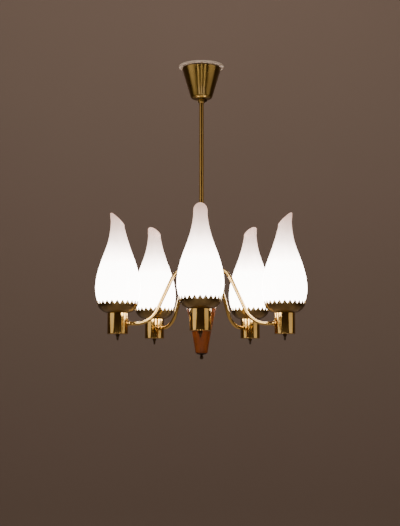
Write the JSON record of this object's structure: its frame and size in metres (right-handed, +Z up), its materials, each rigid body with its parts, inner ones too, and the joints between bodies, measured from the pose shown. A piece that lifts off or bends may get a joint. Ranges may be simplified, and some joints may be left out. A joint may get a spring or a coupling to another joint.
{
  "type": "chandelier",
  "caption": "Hanging chandelier with curved brass arms round a turned teak body, each ending in a crown-rimmed cup with a flame-shaped opal glass shade.",
  "frame": {"origin": "middle of the ceiling plate's top face, where it lies against the ceiling", "axes": "+Z up, along the stem; lamp 1 stands towards -Y, and the others follow counter-clockwise seen from above"},
  "size_m": [0.4588, 0.441, 0.6613],
  "materials": {
    "canopy_brass": "spun and lacquered brass, aged to a darker gold",
    "stem_brass": "drawn brass tube, lacquered",
    "lamp_brass": "polished brass with light tarnish",
    "dark_brass": "darkened brass",
    "opal_glass": "satin opal glass, white, lit from within",
    "bulb_glass": "frosted white bulb glass",
    "teak": "turned and oiled teak",
    "black_disc": "ebonised wood",
    "bakelite": "dark brown bakelite",
    "porcelain": "white glazed porcelain",
    "hanger_steel": "zinc-plated steel",
    "plate_paint": "off-white paint"
  },
  "bodies": {
    "ceiling": {"ceiling_plate": "plate_paint", "ceiling_hook": "hanger_steel"},
    "shackle": {"shackle": "hanger_steel", "shackle_pin": "hanger_steel"},
    "fixture": {"stem_eye": "hanger_steel", "terminal_block": "porcelain", "stem": "stem_brass", "stem_collar": "lamp_brass", "hub_plate": "lamp_brass", "hub_nut": "lamp_brass", "hub_screw_1": "dark_brass", "hub_screw_2": "dark_brass", "hub_screw_3": "dark_brass", "teak_body": "teak", "bottom_disc": "black_disc", "bottom_finial": "lamp_brass", "arm_1": "lamp_brass", "arm_nut_1": "lamp_brass", "lampholder_cover_1": "lamp_brass", "socket_1": "bakelite", "cup_1": "lamp_brass", "lamp_finial_1": "dark_brass", "arm_2": "lamp_brass", "arm_nut_2": "lamp_brass", "lampholder_cover_2": "lamp_brass", "socket_2": "bakelite", "cup_2": "lamp_brass", "lamp_finial_2": "dark_brass", "arm_3": "lamp_brass", "arm_nut_3": "lamp_brass", "lampholder_cover_3": "lamp_brass", "socket_3": "bakelite", "cup_3": "lamp_brass", "lamp_finial_3": "dark_brass", "arm_4": "lamp_brass", "arm_nut_4": "lamp_brass", "lampholder_cover_4": "lamp_brass", "socket_4": "bakelite", "cup_4": "lamp_brass", "lamp_finial_4": "dark_brass", "arm_5": "lamp_brass", "arm_nut_5": "lamp_brass", "lampholder_cover_5": "lamp_brass", "socket_5": "bakelite", "cup_5": "lamp_brass", "lamp_finial_5": "dark_brass"},
    "canopy": {"canopy": "canopy_brass", "canopy_collar": "canopy_brass"},
    "collar_screw": {"collar_screw": "dark_brass"},
    "shade_1": {"shade_1": "opal_glass"},
    "bulb_1": {"bulb_1": "bulb_glass"},
    "shade_2": {"shade_2": "opal_glass"},
    "bulb_2": {"bulb_2": "bulb_glass"},
    "shade_3": {"shade_3": "opal_glass"},
    "bulb_3": {"bulb_3": "bulb_glass"},
    "shade_4": {"shade_4": "opal_glass"},
    "bulb_4": {"bulb_4": "bulb_glass"},
    "shade_5": {"shade_5": "opal_glass"},
    "bulb_5": {"bulb_5": "bulb_glass"}
  },
  "joints": [
    {"name": "hook_swing", "type": "hinge", "parent": "ceiling", "child": "shackle", "pos_m": [0, 0, -0.03086], "axis": [1, 0, 0], "range_deg": [-1.5, 1.5]},
    {"name": "pin_swing", "type": "hinge", "parent": "shackle", "child": "fixture", "pos_m": [0, 0, -0.04725], "axis": [0, 1, 0], "range_deg": [-1.5, 1.5]},
    {"name": "canopy_slide", "type": "slide", "parent": "fixture", "child": "canopy", "axis": [0, 0, 1], "range_m": [-0.36, 0]},
    {"name": "collar_screw_turn", "type": "hinge", "parent": "canopy", "child": "collar_screw", "pos_m": [0.00705, -0.00493, -0.0808], "axis": [0.8192, -0.5736, 0], "range_deg": [0, 540]},
    {"name": "shade_1_lift", "type": "slide", "parent": "fixture", "child": "shade_1", "axis": [0, 0, 1], "range_m": [0, 0.1]},
    {"name": "bulb_1_unscrew", "type": "hinge", "parent": "fixture", "child": "bulb_1", "pos_m": [0, -0.19, -0.5835], "axis": [0, 0, 1], "range_deg": [0, 900]},
    {"name": "shade_2_lift", "type": "slide", "parent": "fixture", "child": "shade_2", "axis": [0, 0, 1], "range_m": [0, 0.1]},
    {"name": "bulb_2_unscrew", "type": "hinge", "parent": "fixture", "child": "bulb_2", "pos_m": [0.1807, -0.05871, -0.5835], "axis": [0, 0, 1], "range_deg": [0, 900]},
    {"name": "shade_3_lift", "type": "slide", "parent": "fixture", "child": "shade_3", "axis": [0, 0, 1], "range_m": [0, 0.1]},
    {"name": "bulb_3_unscrew", "type": "hinge", "parent": "fixture", "child": "bulb_3", "pos_m": [0.11168, 0.15371, -0.5835], "axis": [0, 0, 1], "range_deg": [0, 900]},
    {"name": "shade_4_lift", "type": "slide", "parent": "fixture", "child": "shade_4", "axis": [0, 0, 1], "range_m": [0, 0.1]},
    {"name": "bulb_4_unscrew", "type": "hinge", "parent": "fixture", "child": "bulb_4", "pos_m": [-0.11168, 0.15371, -0.5835], "axis": [0, 0, 1], "range_deg": [0, 900]},
    {"name": "shade_5_lift", "type": "slide", "parent": "fixture", "child": "shade_5", "axis": [0, 0, 1], "range_m": [0, 0.1]},
    {"name": "bulb_5_unscrew", "type": "hinge", "parent": "fixture", "child": "bulb_5", "pos_m": [-0.1807, -0.05871, -0.5835], "axis": [0, 0, 1], "range_deg": [0, 900]}
  ]
}
